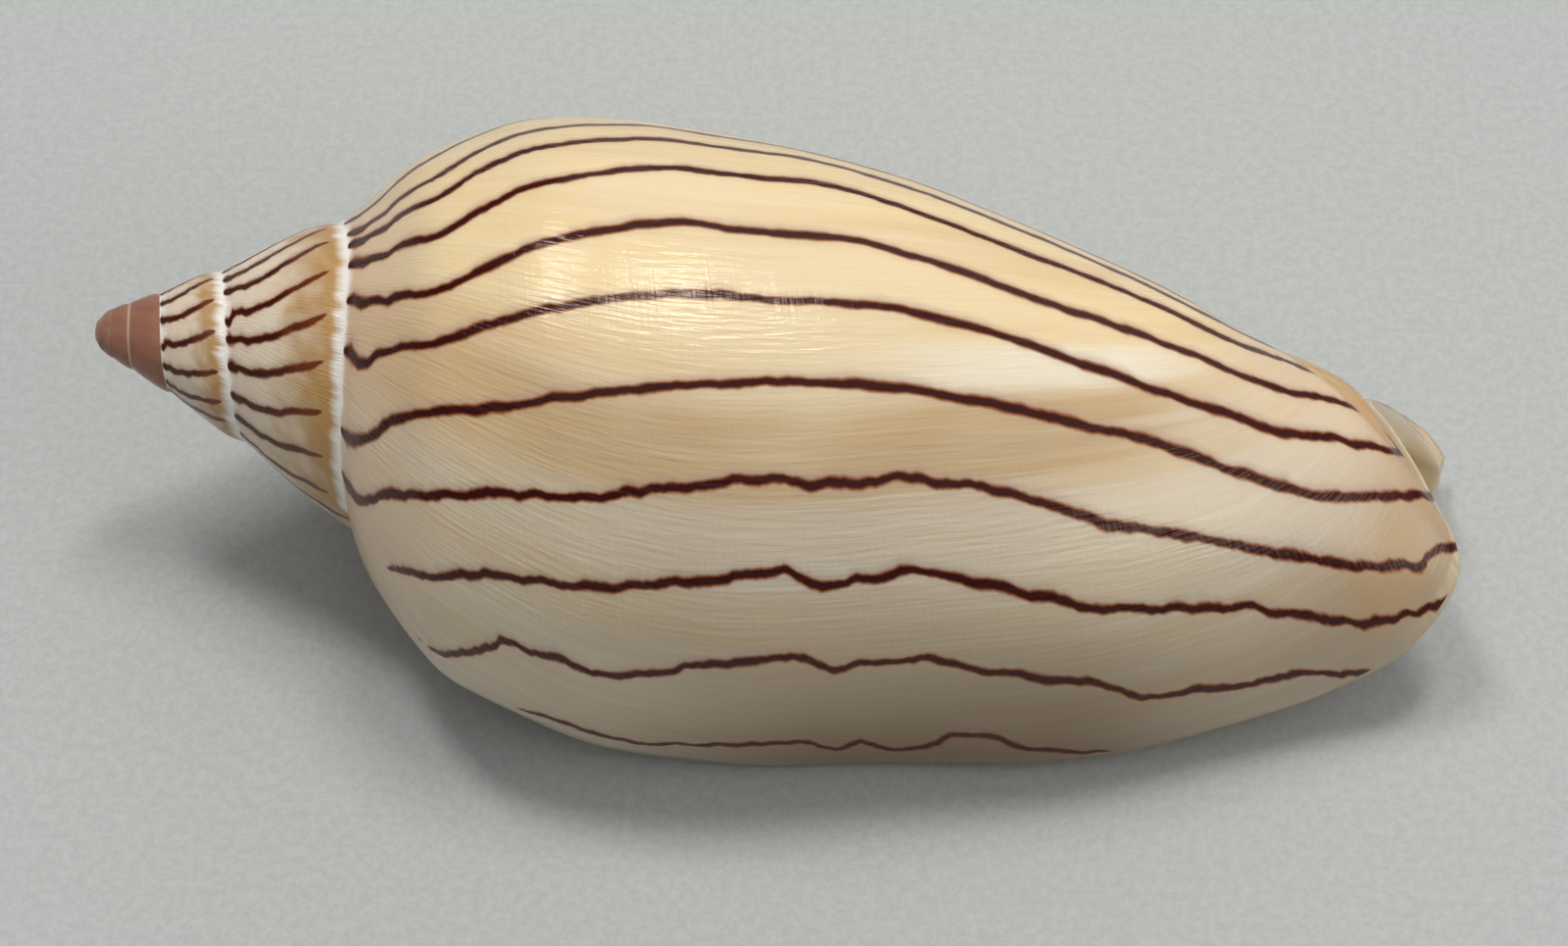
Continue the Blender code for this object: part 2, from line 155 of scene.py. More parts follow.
# ---- the brown lines -------------------------------------------------------------------------
# A line keeps one "age": its turn, less a sweep that is the same curve for every line.
# Ages of the lines on the last whorl, on the one before it and on the first one:
AGES_LAST = [-11, -35.5, -51, -67, -84, -99.5, -113.5, -129.5, -142, -151, -166, -183, -199,
             -214, -231, -247, -262, -279, -294, -311, -327, -343, -358, -373]
AGES_MIDDLE = [-387, -405.5, -423, -442, -459, -477, -496, -511, -528]
AGES_FIRST = [-744, -760, -783, -810, -836, -862]
AGE_STEP_MIDDLE = 17.5    # spacing of the lines between those two lists
AGE_STEP_FIRST = 24.0     # and behind the last of them
AGE_STEP_NEWEST = 20.0    # and in front of the first one
SWEEP = 1.7               # degrees per station squared
SWEEP_AT = 4.8            # the station where a line lies along the axis
HOOK_AT = 11.3            # the station where the lines turn back in a V
HOOK_SLOPE = 14.0         # degrees per station behind it
HOOK_NEWEST = 0.8         # how much farther along the lip that is on the newest shell
HOOK_TURN = (-60.0, -10.0)  # from which turn on, and from which in full
FIRST_TURN = -1000.0      # where the lines and the cream shell begin, behind the smooth first turns

# The lines' bends: station, degrees. Each list is followed by the ages from which it counts
# and from which it counts in full.
# Bends that the lines near the lip share:
KINKS = [(0.0, 0.0), (2.5, 0.0), (3.1, 1.0), (3.8, 0.0),
         (4.4, -1.0), (4.75, -1.4), (5.1, 1.7), (5.4, 0.6), (5.85, -1.8), (6.3, -0.4),
         (6.8, 1.0), (7.35, 2.2), (7.9, 0.2), (8.6, -1.8), (9.3, 0.0), (10.2, 0.3), (11.0, -2.5)]
KINKS_AGES = (-84.0, -50.0)
# how they start at the suture
START = [(0.0, 5.0), (0.3, 6.5), (0.9, 1.5), (1.4, 0.0), (4.0, 0.0)]
START_AGES = (-97.0, -83.0)
# the slower sway of the lines farther up
SWAY = [(0.0, -12.0), (0.4, -5.0), (0.8, 0.0), (1.5, 6.0), (2.75, 1.5), (4.25, -1.2), (5.0, 0.2),
        (5.8, -0.4), (7.0, 1.8), (8.7, -2.3), (10.0, 0.0), (11.2, -2.5), (12.0, -5.0)]
SWAY_AGES = (-80.0, -125.0)
# and on the spire
SPIRE_SWAY = [(0.0, -9.0), (0.4, -5.0), (1.0, 0.5), (1.6, 1.5), (2.2, 0.0), (3.2, -3.0)]
SPIRE_AGES = (-340.0, -380.0)
# bends of single lines: age, station, length in stations, degrees
NUDGES = [(-11.0, 2.4, 0.5, -8.0), (-11.0, 4.9, 0.12, 3.0), (-11.0, 5.15, 0.1, -3.0),
          (-11.0, 5.5, 0.3, 3.2), (-11.0, 6.15, 0.15, -3.5), (-11.0, 5.9, 0.12, -2.5),
          (-35.5, 1.15, 0.5, 12.0), (-35.5, 2.1, 0.12, -3.0), (-35.5, 3.2, 0.5, 2.5),
          (-35.5, 6.3, 0.8, 3.8), (-35.5, 7.45, 0.3, 4.0), (-35.5, 8.1, 0.6, 6.0),
          (-51.0, 0.7, 0.3, 2.0), (-51.0, 10.6, 0.75, -6.5), (-67.0, 6.6, 0.7, -2.0),
          (-67.0, 10.5, 0.12, 2.5), (-67.0, 11.0, 0.5, -3.5), (-84.0, 2.0, 0.7, 2.0),
          (-84.0, 8.3, 0.8, -3.5), (-84.0, 11.4, 0.9, -2.4), (-99.5, 0.38, 0.12, 3.0),
          (-99.5, 10.2, 0.4, -2.0), (-113.5, 10.6, 0.8, -2.0), (-129.5, 10.4, 0.4, -2.0),
          (-477.0, 0.1, 0.1, 16.0), (-810.0, 0.1, 0.12, 14.0)]
NUDGE_AGES = 8.0          # how far in age a single line's bend reaches
# stations between which a line near the lip can be seen
SPANS = {0: (2.1, 7.0), 1: (1.2, 9.8), 2: (0.75, 12.2)}
LINE_HALF = 0.30          # half of a line's width

# ---- colours and finish --------------------------------------------------------------------------
CREAM = (0.85, 0.645, 0.36)
PALE_CREAM = (0.80, 0.66, 0.44)
NEAR_LIP = (0.645, 0.55, 0.42)
TAN = (0.66, 0.43, 0.20)
WARM_TAN = (0.51, 0.335, 0.165)
PINK = (0.74, 0.52, 0.34)
OCHRE = (0.46, 0.235, 0.055)
WHITE_GLAZE = (0.86, 0.77, 0.61)
SEAM_WHITE = (0.96, 0.92, 0.85)
SPIRE_CREAM = (0.78, 0.655, 0.52)
# painted shade: the colour the underside of the last whorl is darkened to, behind the lip
PAINTED_UNDERSIDE_SHADE = (0.24, 0.165, 0.10)
LIP_CREAM = (0.78, 0.67, 0.43)
LINE_SHADE = (0.45, 0.32, 0.25)
LINE_DARK = (0.038, 0.001, 0.001)
LINE_BROWN = (0.25, 0.060, 0.012)
FIRST_BROWN = (0.32, 0.130, 0.078)
FIRST_TIP = (0.34, 0.155, 0.095)
FIRST_DARK = (0.20, 0.070, 0.050)
MOUTH = (0.78, 0.58, 0.36)
MOUTH_DEEP = (0.66, 0.40, 0.20)
NOTCH_TAN = (0.52, 0.31, 0.13)
LOBE = (0.38, 0.275, 0.13)
SPECULAR = 0.38
SPECULAR_TINT = (1.0, 0.90, 0.75, 1.0)
ROUGHNESS = (0.12, 0.24)
BUMP_STRENGTH = 0.55
BUMP_HEIGHT = 0.12        # millimetres
MM_A_DEGREE = 0.42        # length of a degree of turn at the belly, and of a station
MM_A_STATION = 6.5

# ---- camera, light, floor -----------------------------------------------------------------------
CAMERA_DISTANCE = 245.8
CAMERA_ELEVATION = 54.09
CAMERA_AZIMUTH = 6.07
CAMERA_ROLL = -3.60
CAMERA_TARGET = 45.0      # the point of the axis it looks at, from the tip of the spire
LENS = 84.7
SHIFT = (0.0073, -0.044)
FLOOR_HALF = 1.6          # metres
FLOOR_DARK = (0.43, 0.44, 0.42)
FLOOR_LIGHT = (0.49, 0.50, 0.48)
ROOM = (0.92, 0.96, 1.0, 1.0)
ROOM_STRENGTH = 0.20
# soft lights: name, where they stand seen from the shell, metres away, metres wide, watts
LIGHTS = [("window_left", (-0.26, 0.26, 0.93), 0.9, (0.13, 0.26), 2.4),
          ("window_right", (0.14, 0.23, 0.96), 0.9, (0.13, 0.26), 2.4),
          ("behind", (0.30, 0.80, 0.52), 1.6, (1.6, 1.0), 3.0),
          ("ceiling", (0.25, -0.10, 0.95), 2.0, (4.2, 4.2), 18.7),
          ("front", (0.86, -0.30, 0.42), 1.6, (1.0, 0.6), 5.0)]


def smooth(x):
    x = np.clip(x, 0.0, 1.0)
    return x * x * (3.0 - 2.0 * x)


def lip_edge(t):
    """Smooth curve through the stations: distance, radius and lead at station number t."""
    t = np.asarray(t, float)
    points = np.array(LIP)
    chord = np.linalg.norm(np.diff(points * (1.0, 1.0, 0.12), axis=0), axis=1)
    slope = np.diff(points, axis=0) / chord[:, None]
    lean = np.zeros_like(points)
    total = (chord[:-1] + chord[1:])[:, None]
    lean[1:-1] = (slope[:-1] * chord[1:, None] + slope[1:] * chord[:-1, None]) / total
    lean[0] = 1.5 * slope[0] - 0.5 * lean[1]
    lean[-1] = 1.5 * slope[-1] - 0.5 * lean[-2]
    i = np.clip(t.astype(int), 0, LAST - 1)
    x = (t - i)[..., None]
    h = chord[i][..., None]
    start = (2 * x**3 - 3 * x**2 + 1) * points[i] + (x**3 - 2 * x**2 + x) * h * lean[i]
    end = (3 * x**2 - 2 * x**3) * points[i + 1] + (x**3 - x**2) * h * lean[i + 1]
    both = start + end
    return both[..., 0], both[..., 1], both[..., 2]


def size_at(u):
    return GROWTH ** (u / 360.0)


def seam_station():
    """The station on a whorl that the suture of the next whorl runs over."""
    t = np.linspace(0.0, 8.0, 801)
    along = lip_edge(t)[0]
    return float(np.interp(LIP[0][0] * GROWTH ** (SUTURE_LEAD / 360.0), along, t))


SEAM_STATION = seam_station()


def seam_at(u):
    """The same at turn u: the last suture climbs a little."""
    climb = SUTURE_CLIMB * smooth((u + SUTURE_LEAD + CLIMB_TURN) / CLIMB_TURN)
    return SEAM_STATION + SEAM_DROP - climb


def pillar_pleats(along, turn):
    """Folds that wind up the pillar with the growth of the shell."""
    stage = 360.0 * np.log(np.maximum(along, 1e-6) / LIP[LAST][0]) / math.log(GROWTH)
    phase = np.mod(turn - LIP_TURN - LIP[LAST][2] - stage, 360.0)
    height = np.zeros_like(phase)
    for k in range(PLEATS):
        away = (phase - PLEAT_FIRST - k * PLEAT_STEP) / (PLEAT_WIDTH * PLEAT_STEP)
        height = height + (1.0 - 0.12 * k) * np.exp(-away * away)
    return PLEAT_HEIGHT * height


def callus(along, turn):
    """The rounded fillet of glaze on the mouth side."""
    side = (np.mod(turn - CALLUS_AT[1] + 180.0, 360.0) - 180.0) / CALLUS_SIZE[1]
    length = (along - CALLUS_AT[0]) / CALLUS_SIZE[0]
    return CALLUS * np.exp(-side * side - length * length)


def front_band(u, t):
    """The raised band that the front notch leaves behind it as it grows."""
    height = BAND * smooth(-u / BAND_TURN) * smooth((u + BAND_END) / BAND_FADE)
    return size_at(u) * height * np.exp(-(((t - BAND_AT) / BAND_WIDTH) ** 2))


def whorl(u, t):
    """The growing edge at turn u, before it is fitted to the whorl it grows on."""
    along, out, lead = lip_edge(t)
    size = size_at(u)
    late = np.clip((u + SWELL_TURN) / SWELL_TURN, 1e-9, 1.0) ** 1.2
    bump = np.exp(-(((along - SWELL_AT) / SWELL_WIDTH) ** 2))
    out = out + SHOULDER_SWELL * late * bump * smooth((along - LIP[0][0]) / SWELL_RISE)
    behind = np.maximum(along - LIP[0][0], 0.0) / FLARE_WIDTH
    flare = behind * np.exp(1.0 - behind)
    out = out + BACK_FLARE * smooth((u + FLARE_TURN) / FLARE_TURN) * flare
    tuck = FRONT_TUCK * smooth(-u / TUCK_TURN)
    out = out - tuck * np.exp(-(((t - TUCK_AT) / TUCK_WIDTH) ** 2))
    drawn_in = LIP_DRAWN_IN * smooth(1.0 + u / DRAWN_IN_TURN)
    out = out - drawn_in * np.exp(-(((t - DRAWN_IN_AT) / DRAWN_IN_WIDTH) ** 2))
    return size * along, size * out, LIP_TURN + u + lead


def outside(u, t):
    """Outer surface at turn u and station t: distance, radius and turn round the axis."""
    u, t = np.broadcast_arrays(np.asarray(u, float), np.asarray(t, float))
    along, out, turn = whorl(u, t)
    before = u - SUTURE_LEAD
    foot = whorl(before, seam_at(before))
    own = whorl(u, np.zeros_like(t))
    hold = 1.0 - smooth(t / HOLD)
    along = along + hold * (foot[0] - own[0])
    out = out + hold * (foot[1] - own[1])
    turn = turn + hold * (foot[2] + 360.0 - own[2])
    near = np.maximum(along, 1e-6)
    out = out + BLUNT * np.exp(-near / BLUNT_LENGTH) * np.sqrt(1.0 - np.exp(-near / 0.5))
    return along, out, turn


def place(along, out, turn):
    angle = np.radians(turn)
    return np.stack([along, out * np.cos(angle), out * np.sin(angle)], axis=-1)


def outer_point(u, t):
    return place(*outside(u, t))


def outer_normal(u, t):
    """Unit vector out of the wall."""
    low = np.clip(t - 0.04, 0.0, LAST)
    high = np.clip(t + 0.04, 0.0, LAST)
    across = outer_point(u, high) - outer_point(u, low)
    ahead = outer_point(u + 0.5, t) - outer_point(u - 0.5, t)
    n = np.cross(ahead, across)
    return n / np.linalg.norm(n, axis=-1, keepdims=True)


def inner_point(u, t):
    """Inner surface: the wall's thickness in from the outer one, starting on the seam."""
    u, t = np.broadcast_arrays(np.asarray(u, float), np.asarray(t, float))

    def offset(uu, tt):
        thick = WALL * size_at(uu) ** 0.6
        thick = thick + LIP_THICKER * np.exp(np.minimum(uu, 0.0) / LIP_THICKER_TURN)
        return outer_point(uu, tt) - thick[..., None] * outer_normal(uu, tt)

    before = u - SUTURE_LEAD
    foot = outer_point(before, seam_at(before) + SEAM)
    shift = foot - offset(u, np.zeros_like(t))
    hold = 1.0 - smooth(t / INNER_HOLD)
    return offset(u, t) + hold[..., None] * shift


def stations(u):
    """Station of every row at each turn: suture to seam, seam's foot to corner, corner to tip."""
    seam = seam_at(u)[:, None]
    first = seam * np.linspace(0.0, 1.0, ROWS_SPIRE + 1)
    foot = seam + SEAM
    second = foot + (CORNER - foot) * np.linspace(0.0, 1.0, ROWS_BODY + 1)
    third = np.linspace(CORNER, LAST, ROWS_FRONT + 1)[1:] + 0.0 * seam
    return np.concatenate([first, second, third], axis=1)


def follow(knots, t):
    """Smooth curve through a short list of (station, value)."""
    x = np.array([k[0] for k in knots])
    y = np.array([k[1] for k in knots])
    i = np.clip(np.searchsorted(x, t) - 1, 0, len(x) - 2)
    part = smooth((t - x[i]) / (x[i + 1] - x[i]))
    return y[i] + (y[i + 1] - y[i]) * part


def share_at(value, ends):
    """0 before the first end, 1 past the second one."""
    return smooth((value - ends[0]) / (ends[1] - ends[0]))


def line_ages():
    ages = [float(a) for a in AGES_LAST + AGES_MIDDLE]
    gap = ages[-1] - AGES_FIRST[0]
    count = round(gap / AGE_STEP_MIDDLE)
    jitter = np.random.default_rng(5)
    for k in range(1, count):
        ages.append(AGES_MIDDLE[-1] - gap * k / count + jitter.uniform(-2.0, 2.0))
    ages += [float(a) for a in AGES_FIRST]
    while ages[-1] > FIRST_TURN - 200.0:
        ages.append(ages[-1] - AGE_STEP_FIRST + jitter.uniform(-3.0, 3.0))
    return np.array(ages)


AGES = line_ages()


def hook_station(u):
    """Where the lines turn back: a little farther along the lip on the newest shell."""
    return HOOK_AT + HOOK_NEWEST * share_at(u, HOOK_TURN)


def age_of(u, t):
    """The age of a point: equal all along a line."""
    hook = hook_station(u)
    before = np.minimum(t, hook)
    sweep = SWEEP * (before - SWEEP_AT) ** 2 - HOOK_SLOPE * np.maximum(t - hook, 0.0)
    age = u - sweep
    spire = share_at(age, SPIRE_AGES)
    far = share_at(age, SWAY_AGES) * (1.0 - spire)
    near = share_at(age, KINKS_AGES) * follow(KINKS, t)
    start = share_at(age, START_AGES) * follow(START, t)
    age = age - near - start - far * follow(SWAY, t) - spire * follow(SPIRE_SWAY, t)
    for nudge_age, at, length, degrees in NUDGES:
        away = ((age - nudge_age) / NUDGE_AGES) ** 2 + ((t - at) / length) ** 2
        age = age - degrees * np.exp(-away)
    own = np.sin(0.115 * age + 1.3 * t) + 0.7 * np.sin(0.071 * age - 2.1 * t + 1.0)
    return age - 0.35 * own


def phase_of(age):
    """Counts the lines: a whole number on every one."""
    table = np.arange(-1500.0, 60.0, 0.5)
    known = np.concatenate([[AGES[0] + AGE_STEP_NEWEST], AGES])
    count = np.interp(-table, -known, np.arange(-1.0, len(AGES)))
    late = table > known[0]
    count[late] = -1.0 - (table[late] - known[0]) / AGE_STEP_NEWEST
    early = table < AGES[-1]
    count[early] = len(AGES) - 1 + (AGES[-1] - table[early]) / AGE_STEP_FIRST
    reach = 4
    box = np.ones(2 * reach + 1) / (2 * reach + 1)
    even = np.convolve(np.pad(count, reach, mode="edge"), box, mode="valid")
    return np.interp(age, table, even)


def spread(values, points):
    """Millimetres per unit of a value on a surface given as a grid of points."""
    one, two = np.gradient(values)
    p, q = np.gradient(points, axis=(0, 1))
    e = (p * p).sum(-1)
    f = (p * q).sum(-1)
    g = (q * q).sum(-1)
    area = np.maximum(e * g - f * f, 1e-12)
    steep = (g * one**2 - 2.0 * f * one * two + e * two**2) / area
    return 1.0 / np.sqrt(np.maximum(steep, 1e-9))


def ink_of(u, t, phase, to_next):
    """How strong the lines are."""
    past_hook = t - hook_station(u)
    ink = smooth((u - FIRST_TURN) / 30.0) * (1.0 - smooth(past_hook / 0.2))
    ink = ink * smooth((t - 0.03) / 0.08) * smooth((to_next / size_at(u) - 2.0) / 4.5)
    line = np.round(phase).astype(int)
    for number, (start, end) in SPANS.items():
        seen = smooth((t - start) / 0.25) * (1.0 - smooth((t - end + 0.3) / 0.4))
        ink = np.where(line == number, ink * seen, ink)
    ink = np.where(line < 0, 0.0, ink)
    return ink * np.where(line == 0, 0.95, 1.0)


class Mesh:
    """Points, triangles and the values each triangle's corners carry."""

    NAMES = ("turn", "station", "phase", "gap", "ink", "inside", "to_next", "from_last")

    def __init__(self):
        self.points = np.zeros((0, 3))
        self.faces = []
        self.notes = []

    def add(self, block):
        block = np.asarray(block, float)
        first = len(self.points)
        self.points = np.concatenate([self.points, block.reshape(-1, 3)])
        return np.arange(first, len(self.points)).reshape(block.shape[:-1])

    def triangles(self, faces, notes):
        faces = np.asarray(faces, int).reshape(-1, 3)
        notes = np.broadcast_to(notes, faces.shape + (len(self.NAMES),))
        a, b, c = faces.T
        real = (a != b) & (b != c) & (c != a) & (faces.min(axis=1) >= 0)
        self.faces.append(faces[real])
        self.notes.append(notes[real])

    def sheet(self, index, notes, keep=None):
        """Two triangles for every cell of a grid of points."""
        notes = np.broadcast_to(notes, index.shape + (len(self.NAMES),))

        def corners(grid):
            return grid[:-1, :-1], grid[:-1, 1:], grid[1:, 1:], grid[1:, :-1]

        a, b, c, d = corners(index)
        na, nb, nc, nd = corners(notes)
        whole = np.ones(a.shape, bool) if keep is None else keep
        for tri, note in (((a, b, c), (na, nb, nc)), ((a, c, d), (na, nc, nd))):
            faces = np.stack(tri, axis=-1)[whole]
            self.triangles(faces, np.stack(note, axis=-2)[whole])


TURN, STATION, PHASE, GAP, INK, INSIDE, TO_NEXT, FROM_LAST = range(len(Mesh.NAMES))


def plain_note(turn, inside, station=8.0):
    """What a corner carries where there are no lines and no suture is near."""
    far = 50.0
    note = np.zeros(len(Mesh.NAMES))
    note[[TURN, STATION, PHASE, GAP]] = (turn, station, -0.5, 1.0)
    note[[INK, INSIDE, TO_NEXT, FROM_LAST]] = (0.0, inside, far, far)
    return note


def ladder(left, right, points):
    """Triangles between two chains of points, always across the shorter diagonal."""
    faces = []
    i = 0
    j = 0
    while i < len(left) - 1 or j < len(right) - 1:
        if i == len(left) - 1:
            step_left = False
        elif j == len(right) - 1:
            step_left = True
        else:
            one = np.linalg.norm(points[left[i + 1]] - points[right[j]])
            two = np.linalg.norm(points[left[i]] - points[right[j + 1]])
            step_left = one < two
        if step_left:
            faces.append((left[i], left[i + 1], right[j]))
            i += 1
        else:
            faces.append((left[i], right[j + 1], right[j]))
            j += 1
    return faces


def between(near, far, share, points):
    """Points part of the way from one chain to the other, going round the axis."""

    def polar(chain):
        p = points[chain]
        angle = np.unwrap(np.arctan2(p[:, 2], p[:, 1]))
        return p[:, 0], np.hypot(p[:, 1], p[:, 2]), np.degrees(angle)

    near_along, near_out, near_turn = polar(near)
    far_along, far_out, far_turn = polar(far)
    rising = np.maximum.accumulate(far_along) + 1e-6 * np.arange(len(far_along))
    out = np.interp(near_along, rising, far_out)
    turn = np.interp(near_along, rising, far_turn)
    turn = turn + 360.0 * np.round((near_turn[0] - far_turn[0]) / 360.0)
    mixed_out = near_out + (out - near_out) * share
    mixed_turn = near_turn + (turn - near_turn) * share
    return place(near_along, mixed_out, mixed_turn)[1:-1]


def outer_notes(grid, u, t, column, row):
    """What the corners on the outer surface carry, in the order of Mesh.NAMES."""
    reach = np.linalg.norm(np.diff(grid, axis=1), axis=2)
    from_last = np.concatenate([np.zeros((COLUMNS + 1, 1)), np.cumsum(reach, axis=1)], axis=1)
    past_seam = np.maximum(column - BODY, 0) * STEP * 0.3
    to_next = np.hypot(from_last[:, [SEAM_ROW]] - from_last, past_seam)
    phase = phase_of(age_of(u, t))
    gap = spread(phase, grid)
    ink = ink_of(u, t, phase, to_next)
    mouth = smooth((BODY + 4 - column) / 6.0) * (row > SEAM_ROW)
    pillar = smooth((t - CORNER - 1.0) / 1.5)
    inside = np.maximum(mouth, pillar)
    return np.stack([u, t, phase, gap, ink, inside, to_next, from_last], axis=-1)


def outer_sheet(mesh):
    """Outer surface, a column for every step of turn: its points' numbers and what they carry."""
    row = np.arange(LAST_ROW + 1)[None, :]
    column = np.arange(COLUMNS + 1)[:, None]
    u = (column - COLUMNS) * STEP + 0.0 * row
    t = stations(u[:, 0])
    slide = (t - t[:, [FOOT_ROW]]) / (LAST - t[:, [FOOT_ROW]])
    covered = (column < BODY) & (row > SEAM_ROW)
    u = u + np.where(covered, PILLAR_SHEAR * (BODY - column) / DEEP * slide, 0.0)
    along, out, turn = outside(u, t)
    thicker = smooth(CALLUS_RISE * (row - FOOT_ROW) / ROWS_BODY)
    belly = (column > BODY) & (row > FOOT_ROW)
    out = out + np.where(belly, callus(along, turn) * thicker + front_band(u, t), 0.0)
    inward = smooth((t - CORNER - PLEATS_OUT[0]) / PLEATS_OUT[1]) * (row > CORNER_ROW)
    inward = inward * smooth((-u - PLEATS_STOP[0]) / PLEATS_STOP[1])
    out = out + inward * size_at(u) * pillar_pleats(along, turn)
    grid = place(along, out, turn)
    notes = outer_notes(grid, u, t, column, row)

    # a whorl's first row is the seam of the whorl before
    outer = np.full(grid.shape[:2], -1)
    own = (column >= BODY - DEEP) | (row <= SEAM_ROW)
    own[LEAD:, 0] = False
    outer[own] = mesh.add(grid[own])
    outer[LEAD:, 0] = outer[:-LEAD, SEAM_ROW]
    cell_column = column[:-1]
    cell_row = row[:, :-1]
    hidden = (cell_column < BODY) & (cell_row >= SEAM_ROW)
    hidden = hidden & ((cell_column < BODY - DEEP) | (cell_row < FOOT_ROW))
    mesh.sheet(outer, notes, ~hidden)
    return outer, notes


def inner_sheet(mesh, outer, notes):
    """Inner surface of the last whorl, as deep as the hollow."""
    column = np.arange(COLUMNS - DEEP, COLUMNS + 1)
    u = (column - COLUMNS)[:, None] * STEP
    t = stations(u[:, 0])[:, : CORNER_ROW + 1]
    inner = np.zeros((DEEP + 1, CORNER_ROW + 1), int)
    inner[:, 0] = outer[column - LEAD, FOOT_ROW]
    inner[:, 1:] = mesh.add(inner_point(u, t[:, 1:]))
    note = notes[column][:, : CORNER_ROW + 1].copy()
    note[..., INK] = 0.0
    note[..., INSIDE] = 1.0
    mesh.sheet(inner.T, note.transpose(1, 0, 2))
    return inner


def pillar_strip(mesh, outer, inner, notes):
    """The pillar: a strip that winds from the tip of one turn to the corner of the next."""
    i = np.arange(DEEP + LEAD + 1)
    column = BODY - DEEP + i
    strip = np.zeros((len(i), ROWS_PILLAR + 1), int)
    strip[:, 0] = outer[column, LAST_ROW]
    start = outside(notes[column, LAST_ROW, TURN], float(LAST))

    # its other edge: the corner of the wall, then free, from there to the tip
    corner = mesh.points[inner[DEEP, CORNER_ROW]]
    s = np.maximum(i - DEEP, 0) / LEAD
    tip = outside(0.0, float(LAST))
    corner_turn = math.degrees(math.atan2(corner[2], corner[1])) - 360.0
    wide = math.hypot(corner[1], corner[2])
    front = corner[0] + (tip[0] - corner[0]) * smooth(s)
    edge_turn = corner_turn + (tip[2] - corner_turn) * s
    free = place(front, wide + (tip[1] - wide) * smooth(1.6 * s), edge_turn)
    on_wall = mesh.points[inner[np.minimum(i, DEEP), CORNER_ROW]]
    end = np.where((i <= DEEP)[:, None], on_wall, free)
    wall_turn = LIP_TURN + (i - DEEP) * STEP + LIP[CORNER][2] - 360.0
    guess = np.where(i <= DEEP, wall_turn, edge_turn)
    turn_end = np.degrees(np.arctan2(end[:, 2], end[:, 1]))
    turn_end = turn_end + 360.0 * np.round((guess - turn_end) / 360.0)
    radius_end = np.hypot(end[:, 1], end[:, 2])
    strip[: DEEP + 1, -1] = inner[:, CORNER_ROW]
    strip[DEEP + 1:, -1] = mesh.add(end[DEEP + 1:])

    # between the two edges
    x = (np.arange(1, ROWS_PILLAR) / ROWS_PILLAR)[None, :]
    along = start[0][:, None] * (end[:, [0]] / start[0][:, None]) ** x
    turn = start[2][:, None] + (turn_end - start[2])[:, None] * x
    ease = (start[1] / start[0])[:, None] * (1 - x) + (radius_end / end[:, 0])[:, None] * x**3
    radius = along * (ease + 0.055 * (x - x**3))
    fade = smooth(6.0 * (1.0 - x)) * (1.0 - smooth((i - DEEP) / LEAD * 1.6 - 0.5))[:, None]
    radius = radius + fade * along / LIP[LAST][0] * pillar_pleats(along, turn)
    strip[:, 1:-1] = mesh.add(place(along, radius, turn))
    strip[-1, :] = strip[-1, 0]
    mesh.sheet(strip, plain_note(-60.0, 1.0))
    return strip


def lip_rim(mesh, outer, inner, notes):
    """Rim of the lip, rounded from the outer to the inner surface."""
    rim = np.zeros((CORNER_ROW + 1, ROWS_RIM + 2), int)
    rim[:, 0] = outer[COLUMNS, : CORNER_ROW + 1]
    rim[:, -1] = inner[DEEP]
    p = mesh.points[rim[:, 0]]
    q = mesh.points[rim[:, -1]]
    t = notes[COLUMNS, : CORNER_ROW + 1, STATION]
    ahead = outer_point(0.5, t) - outer_point(-0.5, t)
    across = p - q
    length = (across * across).sum(-1, keepdims=True)
    ahead = ahead - across * (ahead * across).sum(-1, keepdims=True) / length
    ahead = ahead / np.linalg.norm(ahead, axis=-1, keepdims=True) * np.sqrt(length) * 0.5
    bend = (math.pi * np.arange(1, ROWS_RIM + 1) / (ROWS_RIM + 1))[None, :, None]
    middle = ((p + q) / 2)[:, None] + across[:, None] / 2 * np.cos(bend)
    middle = middle + ahead[:, None] * np.sin(bend)
    rim[1:, 1:-1] = mesh.add(middle[1:])
    rim[0, 1:-1] = rim[0, 0]
    note = np.repeat(notes[COLUMNS, : CORNER_ROW + 1][:, None], ROWS_RIM + 2, axis=1)
    note[..., INK] = 0.0
    note[..., INSIDE] = smooth(2.0 * np.arange(ROWS_RIM + 2) / (ROWS_RIM + 1) - 0.8)
    mesh.sheet(rim, note)
    return rim


def pillar_end(mesh, outer, strip, rim):
    """Rounded end of the pillar: rings that grow rounder towards its middle."""
    loop = list(outer[COLUMNS, CORNER_ROW:])
    loop += list(strip[-2:DEEP - 1:-1, -1])
    loop += list(rim[CORNER_ROW, ROWS_RIM:0:-1])
    edge = mesh.points[loop]
    centre = edge.mean(axis=0) * (1.0, 0.0, 0.0) + (END_FORWARD, 0.0, 0.0)
    ring = np.array(loop)
    note = plain_note(-30.0, 0.8, LAST)
    outline = edge - centre
    for share in np.linspace(0.9, 0.1, ROWS_END):
        for _ in range(END_SMOOTHING):
            beside = np.roll(outline, 1, axis=0) + np.roll(outline, -1, axis=0)
            outline = (beside + 2.0 * outline) / 4.0
        level = centre + outline * (share**2, share, share)
        level[:, 0] += END_BULGE * (1.0 - share**2)
        closer = mesh.add(level)
        both = np.stack([np.append(ring, ring[0]), np.append(closer, closer[0])])
        mesh.sheet(both.T, note)
        ring = closer
    top = mesh.add(centre + (END_BULGE, 0.0, 0.0))
    fan = np.stack([ring, np.roll(ring, -1), np.full(len(ring), top)], axis=-1)
    mesh.triangles(fan, note)


